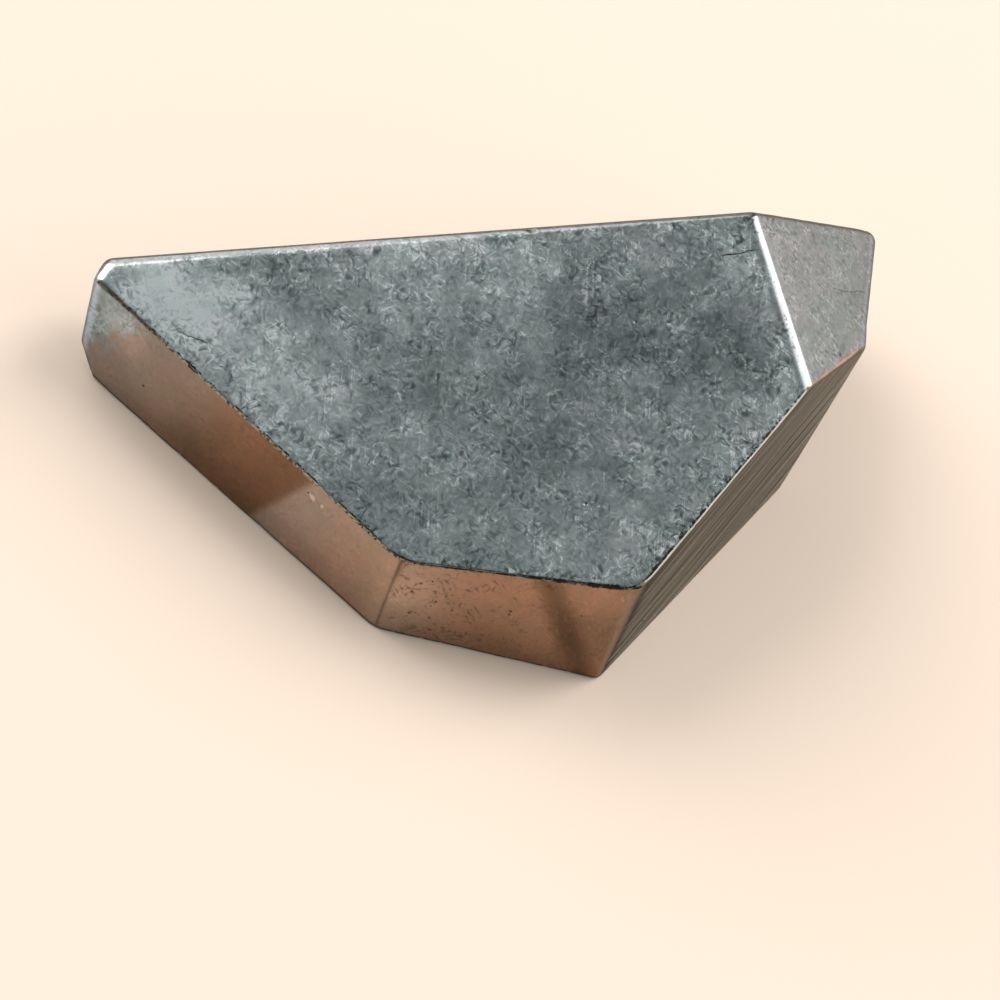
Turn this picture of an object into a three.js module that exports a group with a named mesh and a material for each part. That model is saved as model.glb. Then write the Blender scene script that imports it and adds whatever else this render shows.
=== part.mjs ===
// A polished freeform of shungite: one convex stone, cut by hand into eleven flat facets whose edges
// have been rounded over in polishing.
//
// Millimetres, +Z up. The stone lies on its base facet, with its long side along X, its broad sloping
// table turned towards -X and -Y, and the centre of its outline over the origin.

import * as THREE from 'three';
import { ConvexGeometry } from 'three/addons/geometries/ConvexGeometry.js';

// ---- Driving dimensions ---------------------------------------------------------------------------

// Each facet faces a compass bearing (degrees, counter-clockwise from +X) and leans back from upright
// by an angle (90 looks straight up, -90 straight down). Its plane lies `reach` from the origin.
const FACETS = {
  table: { facing: -137, lean: 71.5, reach: 15.1 },
  rightBevel: { facing: -14.5, lean: 60.5, reach: 27.5 },
  leftWall: { facing: -143, lean: 4, reach: 21.1 },
  frontWall: { facing: -108.5, lean: 7.5, reach: 17.8 },
  rightWall: { facing: -52.5, lean: 7, reach: 17.4 },
  rightEnd: { facing: -26.5, lean: -4, reach: 24.3 },
  back: { facing: 90.5, lean: 23.5, reach: 21.1 },
  backUnder: { facing: 90, lean: -34, reach: 12.4 },
  leftEnd: { facing: 143, lean: -8, reach: 38.1 },
  leftUnder: { facing: 148, lean: -42, reach: 27.8 },
  base: { facing: 0, lean: -90, reach: 0 },
};

// Every corner is rounded as by a ball pressed into it. Polishing has worn two places more than the rest.
const CORNER_RADIUS = 0.5;
const SOFT_CORNERS = [
  { facets: ['table', 'back', 'leftEnd'], radius: 1.3 },
  { facets: ['table', 'back', 'rightBevel'], radius: 1.0 },
  { facets: ['table', 'rightWall', 'rightBevel'], radius: 1.0 },
];

// Steps along each side of the rounded patch that covers a corner.
const CORNER_STEPS = 6;

// A corner may lie this far outside a facet before it counts as cut off, in millimetres.
const ON_FACET = 1e-6;

const STONE_COLOUR = 0x5d6568;
const STONE_ROUGHNESS = 0.32;
const STONE_METALNESS = 0.75;

// ---- Facets and corners ---------------------------------------------------------------------------

// The outward unit normal of a facet.
function normalOf({ facing, lean }) {
  const bearing = THREE.MathUtils.degToRad(facing);
  const tilt = THREE.MathUtils.degToRad(lean);
  return new THREE.Vector3(
    Math.cos(bearing) * Math.cos(tilt),
    Math.sin(bearing) * Math.cos(tilt),
    Math.sin(tilt),
  );
}

const planes = Object.entries(FACETS).map(([name, facet]) => ({
  name,
  normal: normalOf(facet),
  reach: facet.reach,
}));

// The point that lies `inset` inside each of three planes, or null where two of them are parallel.
function meetingPoint([a, b, c], inset = 0) {
  const bc = new THREE.Vector3().crossVectors(b.normal, c.normal);
  const ca = new THREE.Vector3().crossVectors(c.normal, a.normal);
  const ab = new THREE.Vector3().crossVectors(a.normal, b.normal);
  const volume = a.normal.dot(bc);
  if (Math.abs(volume) < ON_FACET) {
    return null;
  }
  return bc
    .multiplyScalar(a.reach - inset)
    .addScaledVector(ca, b.reach - inset)
    .addScaledVector(ab, c.reach - inset)
    .divideScalar(volume);
}

function isInside(point) {
  return planes.every(({ normal, reach }) => normal.dot(point) <= reach + ON_FACET);
}

// Every set of three facets that meet in a corner of the sharp stone.
function findCorners() {
  const corners = [];
  planes.forEach((a, i) => {
    planes.slice(i + 1).forEach((b, j) => {
      planes.slice(i + j + 2).forEach((c) => {
        const point = meetingPoint([a, b, c]);
        if (point !== null && isInside(point)) {
          corners.push([a, b, c]);
        }
      });
    });
  });
  return corners;
}

// ---- Rounding -------------------------------------------------------------------------------------

function radiusAt(corner) {
  const soft = SOFT_CORNERS.find(({ facets }) => corner.every(({ name }) => facets.includes(name)));
  return soft ? soft.radius : CORNER_RADIUS;
}

// Points on the part of the corner's ball that faces out between its three facets. The outermost three
// touch the facets, so the hull keeps each facet flat and in its place.
function ballPatch(corner) {
  const radius = radiusAt(corner);
  const centre = meetingPoint(corner, radius);
  const points = [];
  for (let i = 0; i <= CORNER_STEPS; i += 1) {
    for (let j = 0; j <= CORNER_STEPS - i; j += 1) {
      const outward = new THREE.Vector3()
        .addScaledVector(corner[0].normal, i)
        .addScaledVector(corner[1].normal, j)
        .addScaledVector(corner[2].normal, CORNER_STEPS - i - j)
        .normalize();
      points.push(outward.multiplyScalar(radius).add(centre));
    }
  }
  return points;
}

// The rounded stone is the hull of all the patches, set with the middle of its outline over the origin.
function stoneGeometry() {
  const geometry = new ConvexGeometry(findCorners().flatMap(ballPatch));
  geometry.computeBoundingBox();
  const middle = geometry.boundingBox.getCenter(new THREE.Vector3());
  geometry.translate(-middle.x, -middle.y, 0);
  return geometry;
}

// ---- The stone ------------------------------------------------------------------------------------

const stone = new THREE.Mesh(
  stoneGeometry(),
  new THREE.MeshStandardMaterial({
    color: STONE_COLOUR,
    roughness: STONE_ROUGHNESS,
    metalness: STONE_METALNESS,
    flatShading: true,
  }),
);
stone.name = 'stone';

const shungite = new THREE.Group();
shungite.name = 'shungite_freeform';
shungite.add(stone);

export default shungite;
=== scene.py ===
"""A polished shungite stone, seen from above its broad sloping table, on a pale floor.

The stone is one fine mesh, wrapped round the flat facets of the CAD solid. Lengths are in metres and
angles in degrees. MM turns millimetres into metres.
"""

import math
from functools import partial, reduce
from itertools import combinations

import bmesh
import bpy
import numpy as np
from mathutils import Matrix, Vector, geometry, kdtree, noise


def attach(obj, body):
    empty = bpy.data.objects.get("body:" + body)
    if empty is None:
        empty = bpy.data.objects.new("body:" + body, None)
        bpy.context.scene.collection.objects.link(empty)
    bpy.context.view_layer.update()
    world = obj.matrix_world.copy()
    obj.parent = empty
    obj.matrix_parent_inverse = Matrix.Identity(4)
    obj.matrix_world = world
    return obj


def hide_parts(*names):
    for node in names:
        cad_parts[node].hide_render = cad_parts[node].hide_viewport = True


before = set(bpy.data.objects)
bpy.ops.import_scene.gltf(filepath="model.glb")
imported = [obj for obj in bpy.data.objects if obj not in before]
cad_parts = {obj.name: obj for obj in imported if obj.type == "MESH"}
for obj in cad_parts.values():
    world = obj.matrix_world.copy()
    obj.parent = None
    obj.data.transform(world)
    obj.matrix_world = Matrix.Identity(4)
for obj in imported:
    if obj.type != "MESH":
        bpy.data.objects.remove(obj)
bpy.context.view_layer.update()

MM = 0.001
SEED = 7

# ---- The stone's facets ----

# The way each facet faces: a bearing counter-clockwise from +X, and a lean back from upright.
# How far out each one lies is measured on the CAD solid.
FACETS = {
    "table": (-137, 71.5),
    "right_bevel": (-14.5, 60.5),
    "left_wall": (-143, 4),
    "front_wall": (-108.5, 7.5),
    "right_wall": (-52.5, 7),
    "right_end": (-26.5, -4),
    "back": (90.5, 23.5),
    "back_under": (90, -34),
    "left_end": (143, -8),
    "left_under": (148, -42),
    "base": (0, -90),
}
NAMES = list(FACETS)
HIDDEN = ("back_under", "left_under", "base")  # seen only from below, so meshed more coarsely

# Rounding of the edges. Most are crisp. The ones named here are worn softer.
EDGE_RADIUS = 0.40 * MM
EDGE_RADII = {
    ("table", "right_bevel"): 0.70 * MM,
    ("table", "front_wall"): 0.50 * MM,
    ("table", "left_end"): 1.2 * MM,
    ("table", "back"): 0.85 * MM,
    ("back", "left_end"): 1.2 * MM,
    ("left_wall", "left_end"): 0.9 * MM,
    ("left_end", "left_under"): 1.2 * MM,
    ("left_wall", "left_under"): 0.9 * MM,
    ("right_bevel", "right_end"): 1.1 * MM,
    ("right_bevel", "back"): 0.8 * MM,
    ("back", "right_end"): 0.9 * MM,
}
CORNER_RADII = {
    ("right_bevel", "right_end", "back"): 1.8 * MM,
}
RADIUS_REACH = 1.6 * MM  # how far along the surface an edge's own radius is felt
CORNER_PULL = 3.0  # how much more a corner's radius counts than an edge's
FAR_PULL = 1e-9  # how much every edge's radius counts everywhere
RADIUS_WEAR = 0.25  # share by which wear makes a radius wander
WEAR_LENGTH = 2.5 * MM

# Edges that polishing has taken off in a wide curve: its radius at the upper and at the lower end.
WIDE_EDGES = {
    ("table", "right_bevel"): (1.15 * MM, 1.70 * MM),
    ("table", "back"): (0.95 * MM, 1.50 * MM),
    ("left_wall", "front_wall"): (7.0 * MM, 3.0 * MM),
    ("front_wall", "right_wall"): (3.5 * MM, 1.0 * MM),
}
WIDE_STEPS = 7

# Mesh spacing: rows beside every edge, as (distance from the edge, spacing along it), then a loose field.
EDGE_STEP = 0.15 * MM
EDGE_ROWS = MM * np.array(
    [(0.08, 0.15), (0.17, 0.15), (0.27, 0.16), (0.39, 0.18), (0.55, 0.22), (0.76, 0.28), (1.05, 0.36)]
)
FIELD_STEP = 0.46 * MM
HIDDEN_STEP = 0.70 * MM
FIELD_JITTER = 0.16  # share of the spacing
FIELD_CLEAR = 0.5  # share of the spacing left free between the last row and the field
ROW_CLEAR = 0.4  # share of the spacing left free where the rows of two edges meet
SAME_POINT = 0.002 * MM
DELAUNAY_TOLERANCE = 1e-7  # in mm, the unit in which the facets are meshed


def direction(bearing, height):
    """The unit vector that points to a bearing (counter-clockwise from +X) and a height above level."""
    a, e = math.radians(bearing), math.radians(height)
    return np.array([math.cos(a) * math.cos(e), math.sin(a) * math.cos(e), math.sin(e)])


def unit(vector):
    return vector / np.linalg.norm(vector)


def smoothstep(low, high, x):
    share = np.clip((x - low) / (high - low), 0, 1)
    return share * share * (3 - 2 * share)


def add_object(name, data):
    made = bpy.data.objects.new(name, data)
    bpy.context.scene.collection.objects.link(made)
    return made


def add_material(name):
    """(a new material, its main shader)"""
    material = bpy.data.materials.new(name)
    material.use_nodes = True
    return material, material.node_tree.nodes["Principled BSDF"]


def cad_points(name):
    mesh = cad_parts[name].data
    points = np.empty(len(mesh.vertices) * 3)
    mesh.vertices.foreach_get("co", points)
    return points.reshape(-1, 3)


NORMALS = np.array([direction(*FACETS[name]) for name in NAMES])
REACHES = (cad_points("stone") @ NORMALS.T).max(axis=0)


def normal_of(facet):
    return NORMALS[NAMES.index(facet)]


# ---- The camera ----

PHOTO_SIDE = 1000  # pixels
CAMERA_BEARING = -131.1
CAMERA_HEIGHT = 52.4
CAMERA_ROLL = 31.8
CAMERA_DISTANCE = 300 * MM
CAMERA_FOCUS = 3400  # focal length in pixels of the photograph's frame
CAMERA_TARGET = Vector((-1.32, -1.48, 0.0)) * MM


def make_camera():
    data = bpy.data.cameras.new("camera")
    data.sensor_width = 36
    data.lens = CAMERA_FOCUS / PHOTO_SIDE * data.sensor_width
    data.clip_start = 0.01
    camera = add_object("camera", data)
    back = Vector(direction(CAMERA_BEARING, CAMERA_HEIGHT))
    turn = back.to_track_quat("Z", "Y").to_matrix()
    roll = Matrix.Rotation(math.radians(CAMERA_ROLL), 3, "Z")
    place = Matrix.Translation(CAMERA_TARGET + back * CAMERA_DISTANCE)
    camera.matrix_world = place @ (turn @ roll).to_4x4()
    bpy.context.scene.camera = camera
    bpy.context.view_layer.update()
    return camera


def under_pixel(pixel, facet):
    """The point of a facet's plane that shows at a pixel of the photograph's frame."""
    across = (pixel[0] - PHOTO_SIDE / 2) / CAMERA_FOCUS
    down = (pixel[1] - PHOTO_SIDE / 2) / CAMERA_FOCUS
    eye = np.array(camera.matrix_world.translation)
    ray = np.array(camera.matrix_world.to_3x3() @ Vector((across, -down, -1)))
    k = NAMES.index(facet)
    return eye + ray * (REACHES[k] - NORMALS[k] @ eye) / (NORMALS[k] @ ray)


camera = make_camera()

# ---- The sharp stone: corners and edges ----

PARALLEL = 1e-6  # three facets whose normals span less than this have no corner


def find_corners():
    """{set of three facet numbers: the point where they meet}, for the corners of the sharp stone."""
    corners = {}
    for trio in combinations(range(len(NAMES)), 3):
        normals = NORMALS[list(trio)]
        if abs(np.linalg.det(normals)) < PARALLEL:
            continue
        point = np.linalg.solve(normals, REACHES[list(trio)])
        if (NORMALS @ point <= REACHES + SAME_POINT).all():
            corners[frozenset(trio)] = point
    return corners


def find_edges(corners):
    """{(facet, facet): (corner at -X, corner at +X)} for the edges of the sharp stone."""
    edges = {}
    for pair in combinations(range(len(NAMES)), 2):
        ends = [point for trio, point in corners.items() if set(pair) <= trio]
        if len(ends) == 2:
            edges[pair] = tuple(sorted(ends, key=lambda end: end[0]))
    return edges


CORNERS = find_corners()
EDGES = find_edges(CORNERS)


def pair_of(one, other):
    """The key in EDGES of the edge between two named facets."""
    return tuple(sorted((NAMES.index(one), NAMES.index(other))))


RADII = {pair: EDGE_RADIUS for pair in EDGES}
RADII.update({pair_of(*names): radius for names, radius in EDGE_RADII.items()})


def wide_planes():
    """Planes that together round off the wide edges. (unit normals, reaches)"""
    normals, reaches = [], []
    for names, radii in WIDE_EDGES.items():
        pair = pair_of(*names)
        one, other = NORMALS[list(pair)]
        middle = unit(one + other)
        ends = sorted(EDGES[pair], key=lambda end: -end[2])
        centres = [end - radius / (one @ middle) * middle for end, radius in zip(ends, radii)]
        for share in np.arange(1, WIDE_STEPS + 1) / (WIDE_STEPS + 1):
            outward = unit((1 - share) * one + share * other)
            top, low = (centre + radius * outward for centre, radius in zip(centres, radii))
            run = unit(top - low)
            normals.append(unit(outward - (outward @ run) * run))
            reaches.append(normals[-1] @ top)
    return normals, reaches


WIDE_NORMALS, WIDE_REACHES = wide_planes()
SKIN_NORMALS = np.concatenate([NORMALS, WIDE_NORMALS])
SKIN_REACHES = np.concatenate([REACHES, WIDE_REACHES])


def plane_axes(normal):
    """Two unit vectors that lie in a plane and make a right-handed set with its normal."""
    helper = np.array([0.0, 0.0, 1.0]) if abs(normal[2]) < 0.9 else np.array([0.0, 1.0, 0.0])
    u = unit(np.cross(helper, normal))
    return u, np.cross(normal, u)


AXES = np.array([plane_axes(normal) for normal in NORMALS])


def rim_lines(number):
    """For each edge of the facet: its ends, and the unit vector across the facet, away from the edge."""
    lines = []
    for pair, (start, end) in EDGES.items():
        if number not in pair:
            continue
        inward = np.cross(NORMALS[number], unit(end - start))
        other = NORMALS[pair[0] if pair[1] == number else pair[1]]
        lines.append((start, end, -inward if np.dot(inward, other) > 0 else inward))
    return lines


def rim_of(number):
    """The (start, end) of every edge of the facet."""
    return [edge for pair, edge in EDGES.items() if number in pair]


def rim_distances(points, lines):
    return np.array([(points - start) @ inward for start, _, inward in lines])


def flat_box(number):
    """(lowest, highest) of the facet's own flat coordinates."""
    flat = np.concatenate(rim_of(number)) @ AXES[number].T
    return flat.min(axis=0), flat.max(axis=0)


def from_flat(number, flat):
    """The points of a facet's plane with the given flat coordinates."""
    return flat @ AXES[number] + REACHES[number] * NORMALS[number]


# ---- Marks: cracks and pits in the facets, chips in the edges ----

# Hairline cracks: the facet, the pixels of the photograph that each one passes, its half width and depth.
CRACKS = [
    ("table", [(150, 316), (166, 325), (184, 334), (207, 343)], 0.032 * MM, 0.025 * MM),
    ("table", [(724, 255), (738, 254), (757, 249)], 0.04 * MM, 0.03 * MM),
    ("right_bevel", [(834, 288), (848, 292), (861, 291), (873, 294)], 0.035 * MM, 0.015 * MM),
]
CRACK_WANDER = 0.12 * MM  # how far a crack strays from the straight lines between its pixels
CRACK_BEND = 0.6 * MM  # how long its bends are
CRACK_STEP = 0.04 * MM
CRACK_ROWS = (-2.2, -1.0, 0.0, 1.0, 2.2)  # in half widths, across the crack
CRACK_RIM = 1.6  # in half widths, how far out its sides reach the surface

# Pits, as pixels of the photograph, and how many more lie at random on each facet.
SEEN_PITS = {
    "front_wall": [(404, 579), (412, 592), (421, 584), (436, 602), (409, 613), (429, 618), (452, 611)],
    "left_wall": [(308, 493), (143, 386)],
    "table": [(640, 331), (636, 322), (586, 504)],
    "right_bevel": [(804, 282), (874, 257)],
}
MORE_PITS = {"front_wall": 6, "right_wall": 3, "back": 18, "left_end": 4, "right_end": 4}
PIT_RADIUS = (0.08 * MM, 0.19 * MM)
PIT_STEEPNESS = (0.2, 0.45)  # depth over radius
PIT_RINGS = ((0.45, 6), (0.8, 10), (1.1, 12), (1.5, 12))  # (share of the radius, points round it)
PIT_CLEAR = 1.5 * MM  # random pits stay this far from a facet's edges
PIT_PATCH = 3  # in pit radii, how far out the facet's own relief is measured
MARK_STEP = 0.03 * MM  # points of marks stay this far from each other
KEEP_CLEAR = 0.13 * MM  # other mesh points stay this far from the points of a mark

# Chips: how many on each edge, and the ball that bites each one out.
CHIPS = {
    ("table", "left_wall"): 30,
    ("table", "front_wall"): 18,
    ("table", "right_wall"): 10,
    ("table", "back"): 12,
    ("right_bevel", "right_wall"): 4,
    ("right_bevel", "back"): 4,
    ("left_wall", "base"): 8,
    ("front_wall", "base"): 8,
    ("right_wall", "base"): 8,
    ("back", "back_under"): 12,
    ("back_under", "base"): 8,
    ("right_end", "back"): 4,
    ("right_wall", "right_end"): 4,
    ("left_wall", "front_wall"): 3,
}
CHIP_BALL = (0.25 * MM, 0.80 * MM)
CHIP_DEPTH = (0.02 * MM, 0.085 * MM)
CHIP_ENDS = 0.07  # share of an edge's length left whole at each end
CHIP_LEAN = (0.25, 0.75)  # from one facet's side of the edge to the other's
CHIP_SCATTER = 0.12  # how far a chip's direction strays
CHIP_FEWER = 2.2  # the higher this is, the fewer of the chips are large


def crack_path(facet, pixels, rng):
    """Closely spaced points along a crack, which wanders a little between its pixels."""
    corners = np.array([under_pixel(pixel, facet) for pixel in pixels])
    legs = np.linalg.norm(np.diff(corners, axis=0), axis=1)
    run = np.concatenate([[0], np.cumsum(legs)])
    at = np.arange(0, run[-1], CRACK_STEP)
    path = np.stack([np.interp(at, run, corners[:, k]) for k in range(3)], axis=1)
    across = unit(np.cross(normal_of(facet), corners[-1] - corners[0]))
    shift = rng.uniform(0, 100)
    wander = [noise.noise((x / CRACK_BEND + shift, 0, 0)) for x in at]
    return path + CRACK_WANDER * np.array(wander)[:, None] * across, across


def plan_cracks(rng):
    """(facet number, path, across, half width, depth) of every crack."""
    planned = []
    for facet, pixels, half_width, depth in CRACKS:
        path, across = crack_path(facet, pixels, rng)
        planned.append((NAMES.index(facet), path, across, half_width, depth))
    return planned


def random_spots(number, count, rng):
    """Places for pits on a facet, clear of its edges."""
    lines = rim_lines(number)
    box = flat_box(number)
    spots = []
    while len(spots) < count:
        spot = from_flat(number, rng.uniform(*box))
        if rim_distances(spot[None], lines).min() > PIT_CLEAR:
            spots.append(spot)
    return spots


def plan_pits(rng):
    """(facet number, place, radius, depth) of every pit."""
    planned = []
    for number, facet in enumerate(NAMES):
        spots = [under_pixel(pixel, facet) for pixel in SEEN_PITS.get(facet, [])]
        spots += random_spots(number, MORE_PITS.get(facet, 0), rng)
        for spot in spots:
            radius = rng.uniform(*PIT_RADIUS)
            planned.append((number, spot, radius, radius * rng.uniform(*PIT_STEEPNESS)))
    return planned


def mark_points(number, cracks, pits):
    """Mesh points that the cracks and pits of one facet need."""
    found = [np.empty((0, 3))]
    for facet, path, across, half_width, _ in cracks:
        if facet == number:
            stride = path[:: int(2 * half_width / CRACK_STEP)]
            found += [stride + row * half_width * across for row in CRACK_ROWS]
    u, v = AXES[number]
    for facet, spot, radius, _ in pits:
        if facet == number:
            found.append(spot[None])
            for share, count in PIT_RINGS:
                turn = np.linspace(0, 2 * math.pi, count, endpoint=False) + share
                ring = np.cos(turn)[:, None] * u + np.sin(turn)[:, None] * v
                found.append(spot + share * radius * ring)
    return np.concatenate(found)


def thinned(points, clear):
    """Drops each point that lies within `clear` of an earlier one that is kept."""
    kept = np.empty((0, 3))
    for point in points:
        if (np.linalg.norm(kept - point, axis=1) >= clear).all():
            kept = np.vstack([kept, point])
    return kept


def tree_of(points):
    tree = kdtree.KDTree(len(points))
    for i, point in enumerate(points):
        tree.insert(point, i)
    tree.balance()
    return tree


# ---- Mesh points on one facet ----


def along(start, end, step):
    """Evenly spaced points from start to end, both included."""
    count = max(2, int(round(np.linalg.norm(end - start) / step)) + 1)
    return start + np.linspace(0, 1, count)[:, None] * (end - start)


def facet_outline(number):
    """The facet's boundary points, in order round it, the same ones that its neighbours use."""
    u, v = AXES[number]
    rim = rim_of(number)
    middle = np.mean(np.concatenate(rim), axis=0)
    sides = {}
    for start, end in rim:
        points = along(start, end, EDGE_STEP)
        if np.dot(np.cross(start - middle, end - middle), NORMALS[number]) < 0:
            points = points[::-1]
        first = points[0] - middle
        sides[math.atan2(first @ v, first @ u)] = points[:-1]
    return np.concatenate([sides[turn] for turn in sorted(sides)])


def field_points(number, rng):
    """A loose triangular field of points over the middle of the facet."""
    step = HIDDEN_STEP if NAMES[number] in HIDDEN else FIELD_STEP
    low, high = flat_box(number)
    columns = np.arange(low[0], high[0], step)
    rows = np.arange(low[1], high[1], step * math.sqrt(3) / 2)
    grid = np.array([(x + (j % 2) * step / 2, y) for j, y in enumerate(rows) for x in columns])
    grid += rng.uniform(-1, 1, grid.shape) * FIELD_JITTER * step
    field = from_flat(number, grid)
    gap = rim_distances(field, rim_lines(number)).min(axis=0)
    return field[gap > EDGE_ROWS[-1][0] + FIELD_CLEAR * step]


def facet_points(number, marks, rng):
    """Points inside the facet: its marks, rows beside its edges and the field in the middle."""
    lines = rim_lines(number)
    found = []
    for inset, step in EDGE_ROWS:
        for k, (start, end, inward) in enumerate(lines):
            row = along(start, end, step) + inset * inward
            others = np.delete(rim_distances(row, lines), k, axis=0)
            found.append(row[(others > inset + ROW_CLEAR * step).all(axis=0)])
    found.append(field_points(number, rng))
    found = np.concatenate(found)
    if len(marks) == 0:
        return found
    marks = marks[rim_distances(marks, lines).min(axis=0) > EDGE_ROWS[0][0]]
    marks = thinned(marks, MARK_STEP)
    tree = tree_of(marks)
    clear = np.array([tree.find(point)[2] for point in found]) > KEEP_CLEAR
    return np.concatenate([marks, found[clear]])


def facet_mesh(number, marks, rng):
    """(points, triangles) that cover the facet, its normal outwards."""
    rim = facet_outline(number)
    points = np.concatenate([rim, facet_points(number, marks, rng)])
    u, v = AXES[number]
    flat = [Vector((p @ u / MM, p @ v / MM)) for p in points]
    made = geometry.delaunay_2d_cdt(flat, [], [list(range(len(rim)))], 1, DELAUNAY_TOLERANCE)
    if len(made[0]) != len(points):
        raise RuntimeError(f"facet {NAMES[number]}: {len(points)} points became {len(made[0])}")
    order = [sources[0] for sources in made[3]]
    triangles = [[order[i] for i in face] for face in made[2]]
    a, b, c = (points[[t[k] for t in triangles]] for k in range(3))
    turned = np.einsum("ij,j->i", np.cross(b - a, c - a), NORMALS[number]) < 0
    return points, [t[::-1] if back else t for t, back in zip(triangles, turned)]


def sharp_mesh(marks, rng):
    """The whole sharp stone as (points, triangles, the facet that each point was made on)."""
    points, triangles, facets, count = [], [], [], 0
    for number in range(len(NAMES)):
        some, faces = facet_mesh(number, marks[number], rng)
        points.append(some)
        triangles += [[i + count for i in face] for face in faces]
        facets += [number] * len(some)
        count += len(some)
    return np.concatenate(points), triangles, np.array(facets)


# ---- Rounding ----

ROUNDING_SWEEPS = 40


def noise_at(points, length, shift=0.0):
    """Smooth noise from about -1 to 1 whose lumps are about `length` across."""
    return np.array([noise.noise(point) for point in (points / length + shift).tolist()])


def edge_share(points, start, end):
    """How far along the line between two corners each point lies, from 0 to 1."""
    run = end - start
    return np.clip((points - start) @ run / (run @ run), 0, 1)


def edge_gap(points, start, end):
    """Distance of each point from the line between two corners."""
    share = edge_share(points, start, end)
    return np.linalg.norm(points - start - share[:, None] * (end - start), axis=1)


def gap_from(points, names):
    """Distance of each point from the edge between two named facets."""
    return edge_gap(points, *EDGES[pair_of(*names)])


def bell(x):
    """1 at 0, fading to 0 on both sides of it."""
    return np.exp(-(x**2))


def local_radius(points):
    """(rounding radius at each point, distance to the nearest edge)."""
    total = np.zeros(len(points))
    weight = np.full(len(points), 1e-12)
    nearest = np.full(len(points), 1.0)
    for pair, (start, end) in EDGES.items():
        gap = edge_gap(points, start, end)
        pull = bell(gap / RADIUS_REACH) + FAR_PULL
        total += pull * RADII[pair]
        weight += pull
        nearest = np.minimum(nearest, gap)
    for names, radius in CORNER_RADII.items():
        corner = CORNERS[frozenset(NAMES.index(name) for name in names)]
        gap = np.linalg.norm(points - corner, axis=1)
        pull = CORNER_PULL * bell(gap / RADIUS_REACH)
        total += pull * radius
        weight += pull
    wear = 1 + RADIUS_WEAR * noise_at(points, WEAR_LENGTH)
    return total / weight * wear, nearest


def rounded(points, radius):
    """Rolls a ball of the local radius round inside the sharp stone and takes each point to its skin.

    The ball's centre is the nearest point of the stone with its facets moved in by the radius, which
    Dykstra's method of projections finds. (points, outward unit normals)
    """
    centres = points.copy()
    memory = np.zeros((len(SKIN_NORMALS), len(points)))
    for _ in range(ROUNDING_SWEEPS):
        for k, normal in enumerate(SKIN_NORMALS):
            centres += memory[k][:, None] * normal
            memory[k] = np.maximum(0, centres @ normal - (SKIN_REACHES[k] - radius))
            centres -= memory[k][:, None] * normal
    outward = points - centres
    outward /= np.linalg.norm(outward, axis=1)[:, None]
    return centres + radius[:, None] * outward, outward


# ---- Relief ----

PILLOW_DEPTH = 0.045 * MM  # how far the facets fall away towards their edges, from polishing
PILLOW_WIDTH = 1.4 * MM
WAVES = [(7.0 * MM, 0.016 * MM), (2.6 * MM, 0.004 * MM)]  # (length, depth) of unevenness in the facets
WAVE_SHIFT = 31.7  # keeps the waves from lying in step
FLAT_BASE = 0.03 * MM  # points this near the floor aren't moved
FLAT_SHARE = 0.999  # cosine of how far the skin may turn and still count as a flat facet


def polish_depth(points, gap):
    """How far hand polishing has taken each point in from the true facets."""
    depth = PILLOW_DEPTH * bell(gap / PILLOW_WIDTH)
    for shift, (length, height) in enumerate(WAVES):
        depth += height * (1 + noise_at(points, length, WAVE_SHIFT * (shift + 1)))
    return depth * smoothstep(0, FLAT_BASE, points[:, 2])


def bitten(points, ball, radius):
    """Moves points out of a ball to its surface. (points, how far each one moved)"""
    away = points - ball
    distance = np.linalg.norm(away, axis=1)
    inside = distance < radius
    moved = points.copy()
    moved[inside] = ball + away[inside] * (radius / distance[inside])[:, None]
    return moved, np.where(inside, radius - distance, 0.0)


def plan_chips(rng):
    """(place on the sharp edge, outward direction, ball radius, depth) of every chip."""
    planned = []
    for names, count in CHIPS.items():
        pair = pair_of(*names)
        start, end = EDGES[pair]
        for _ in range(count):
            place = start + rng.uniform(CHIP_ENDS, 1 - CHIP_ENDS) * (end - start)
            lean = rng.uniform(*CHIP_LEAN)
            outward = lean * NORMALS[pair[0]] + (1 - lean) * NORMALS[pair[1]]
            outward += rng.normal(0, CHIP_SCATTER, 3)
            size = rng.uniform() ** CHIP_FEWER
            ball, depth = (np.interp(size, (0, 1), limits) for limits in (CHIP_BALL, CHIP_DEPTH))
            planned.append((place, unit(outward), ball, depth))
    return planned


def chipped(skin, rng):
    """Bites the chips out of the edges. (points, how far each one moved)"""
    planned = plan_chips(rng)
    places = np.array([chip[0] for chip in planned])
    ridges, _ = rounded(places, local_radius(places)[0])
    moved = np.zeros(len(skin))
    for ridge, (_, outward, ball, depth) in zip(ridges, planned):
        skin, moves = bitten(skin, ridge + outward * (ball - depth), ball)
        moved += moves
    return skin, moved


def pitted(skin, polish, pits):
    """Bites the pits out of the facets. (points, how far each one moved)"""
    moved = np.zeros(len(skin))
    for number, spot, radius, depth in pits:
        near = np.linalg.norm(skin - spot, axis=1) < PIT_PATCH * radius
        inset = polish[near].mean()
        ball = (radius**2 + depth**2) / (2 * depth)
        centre = spot + NORMALS[number] * (ball - depth - inset)
        skin, moves = bitten(skin, centre, ball)
        moved += moves
    return skin, moved


def cracked(skin, outward, cracks):
    """Cuts the cracks into the facets. (points, how far each one moved)"""
    moved = np.zeros(len(skin))
    for number, path, _, half_width, depth in cracks:
        tree = tree_of(path)
        near = np.flatnonzero(outward @ NORMALS[number] > FLAT_SHARE)
        gap = np.array([tree.find(skin[i])[2] for i in near])
        beside = np.sqrt(np.maximum(gap**2 - gap.min() ** 2, 0))
        moved[near] = np.maximum(moved[near], depth * np.clip(CRACK_RIM - beside / half_width, 0, 1))
    return skin - moved[:, None] * outward, moved


# ---- The stone as an object ----

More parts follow.
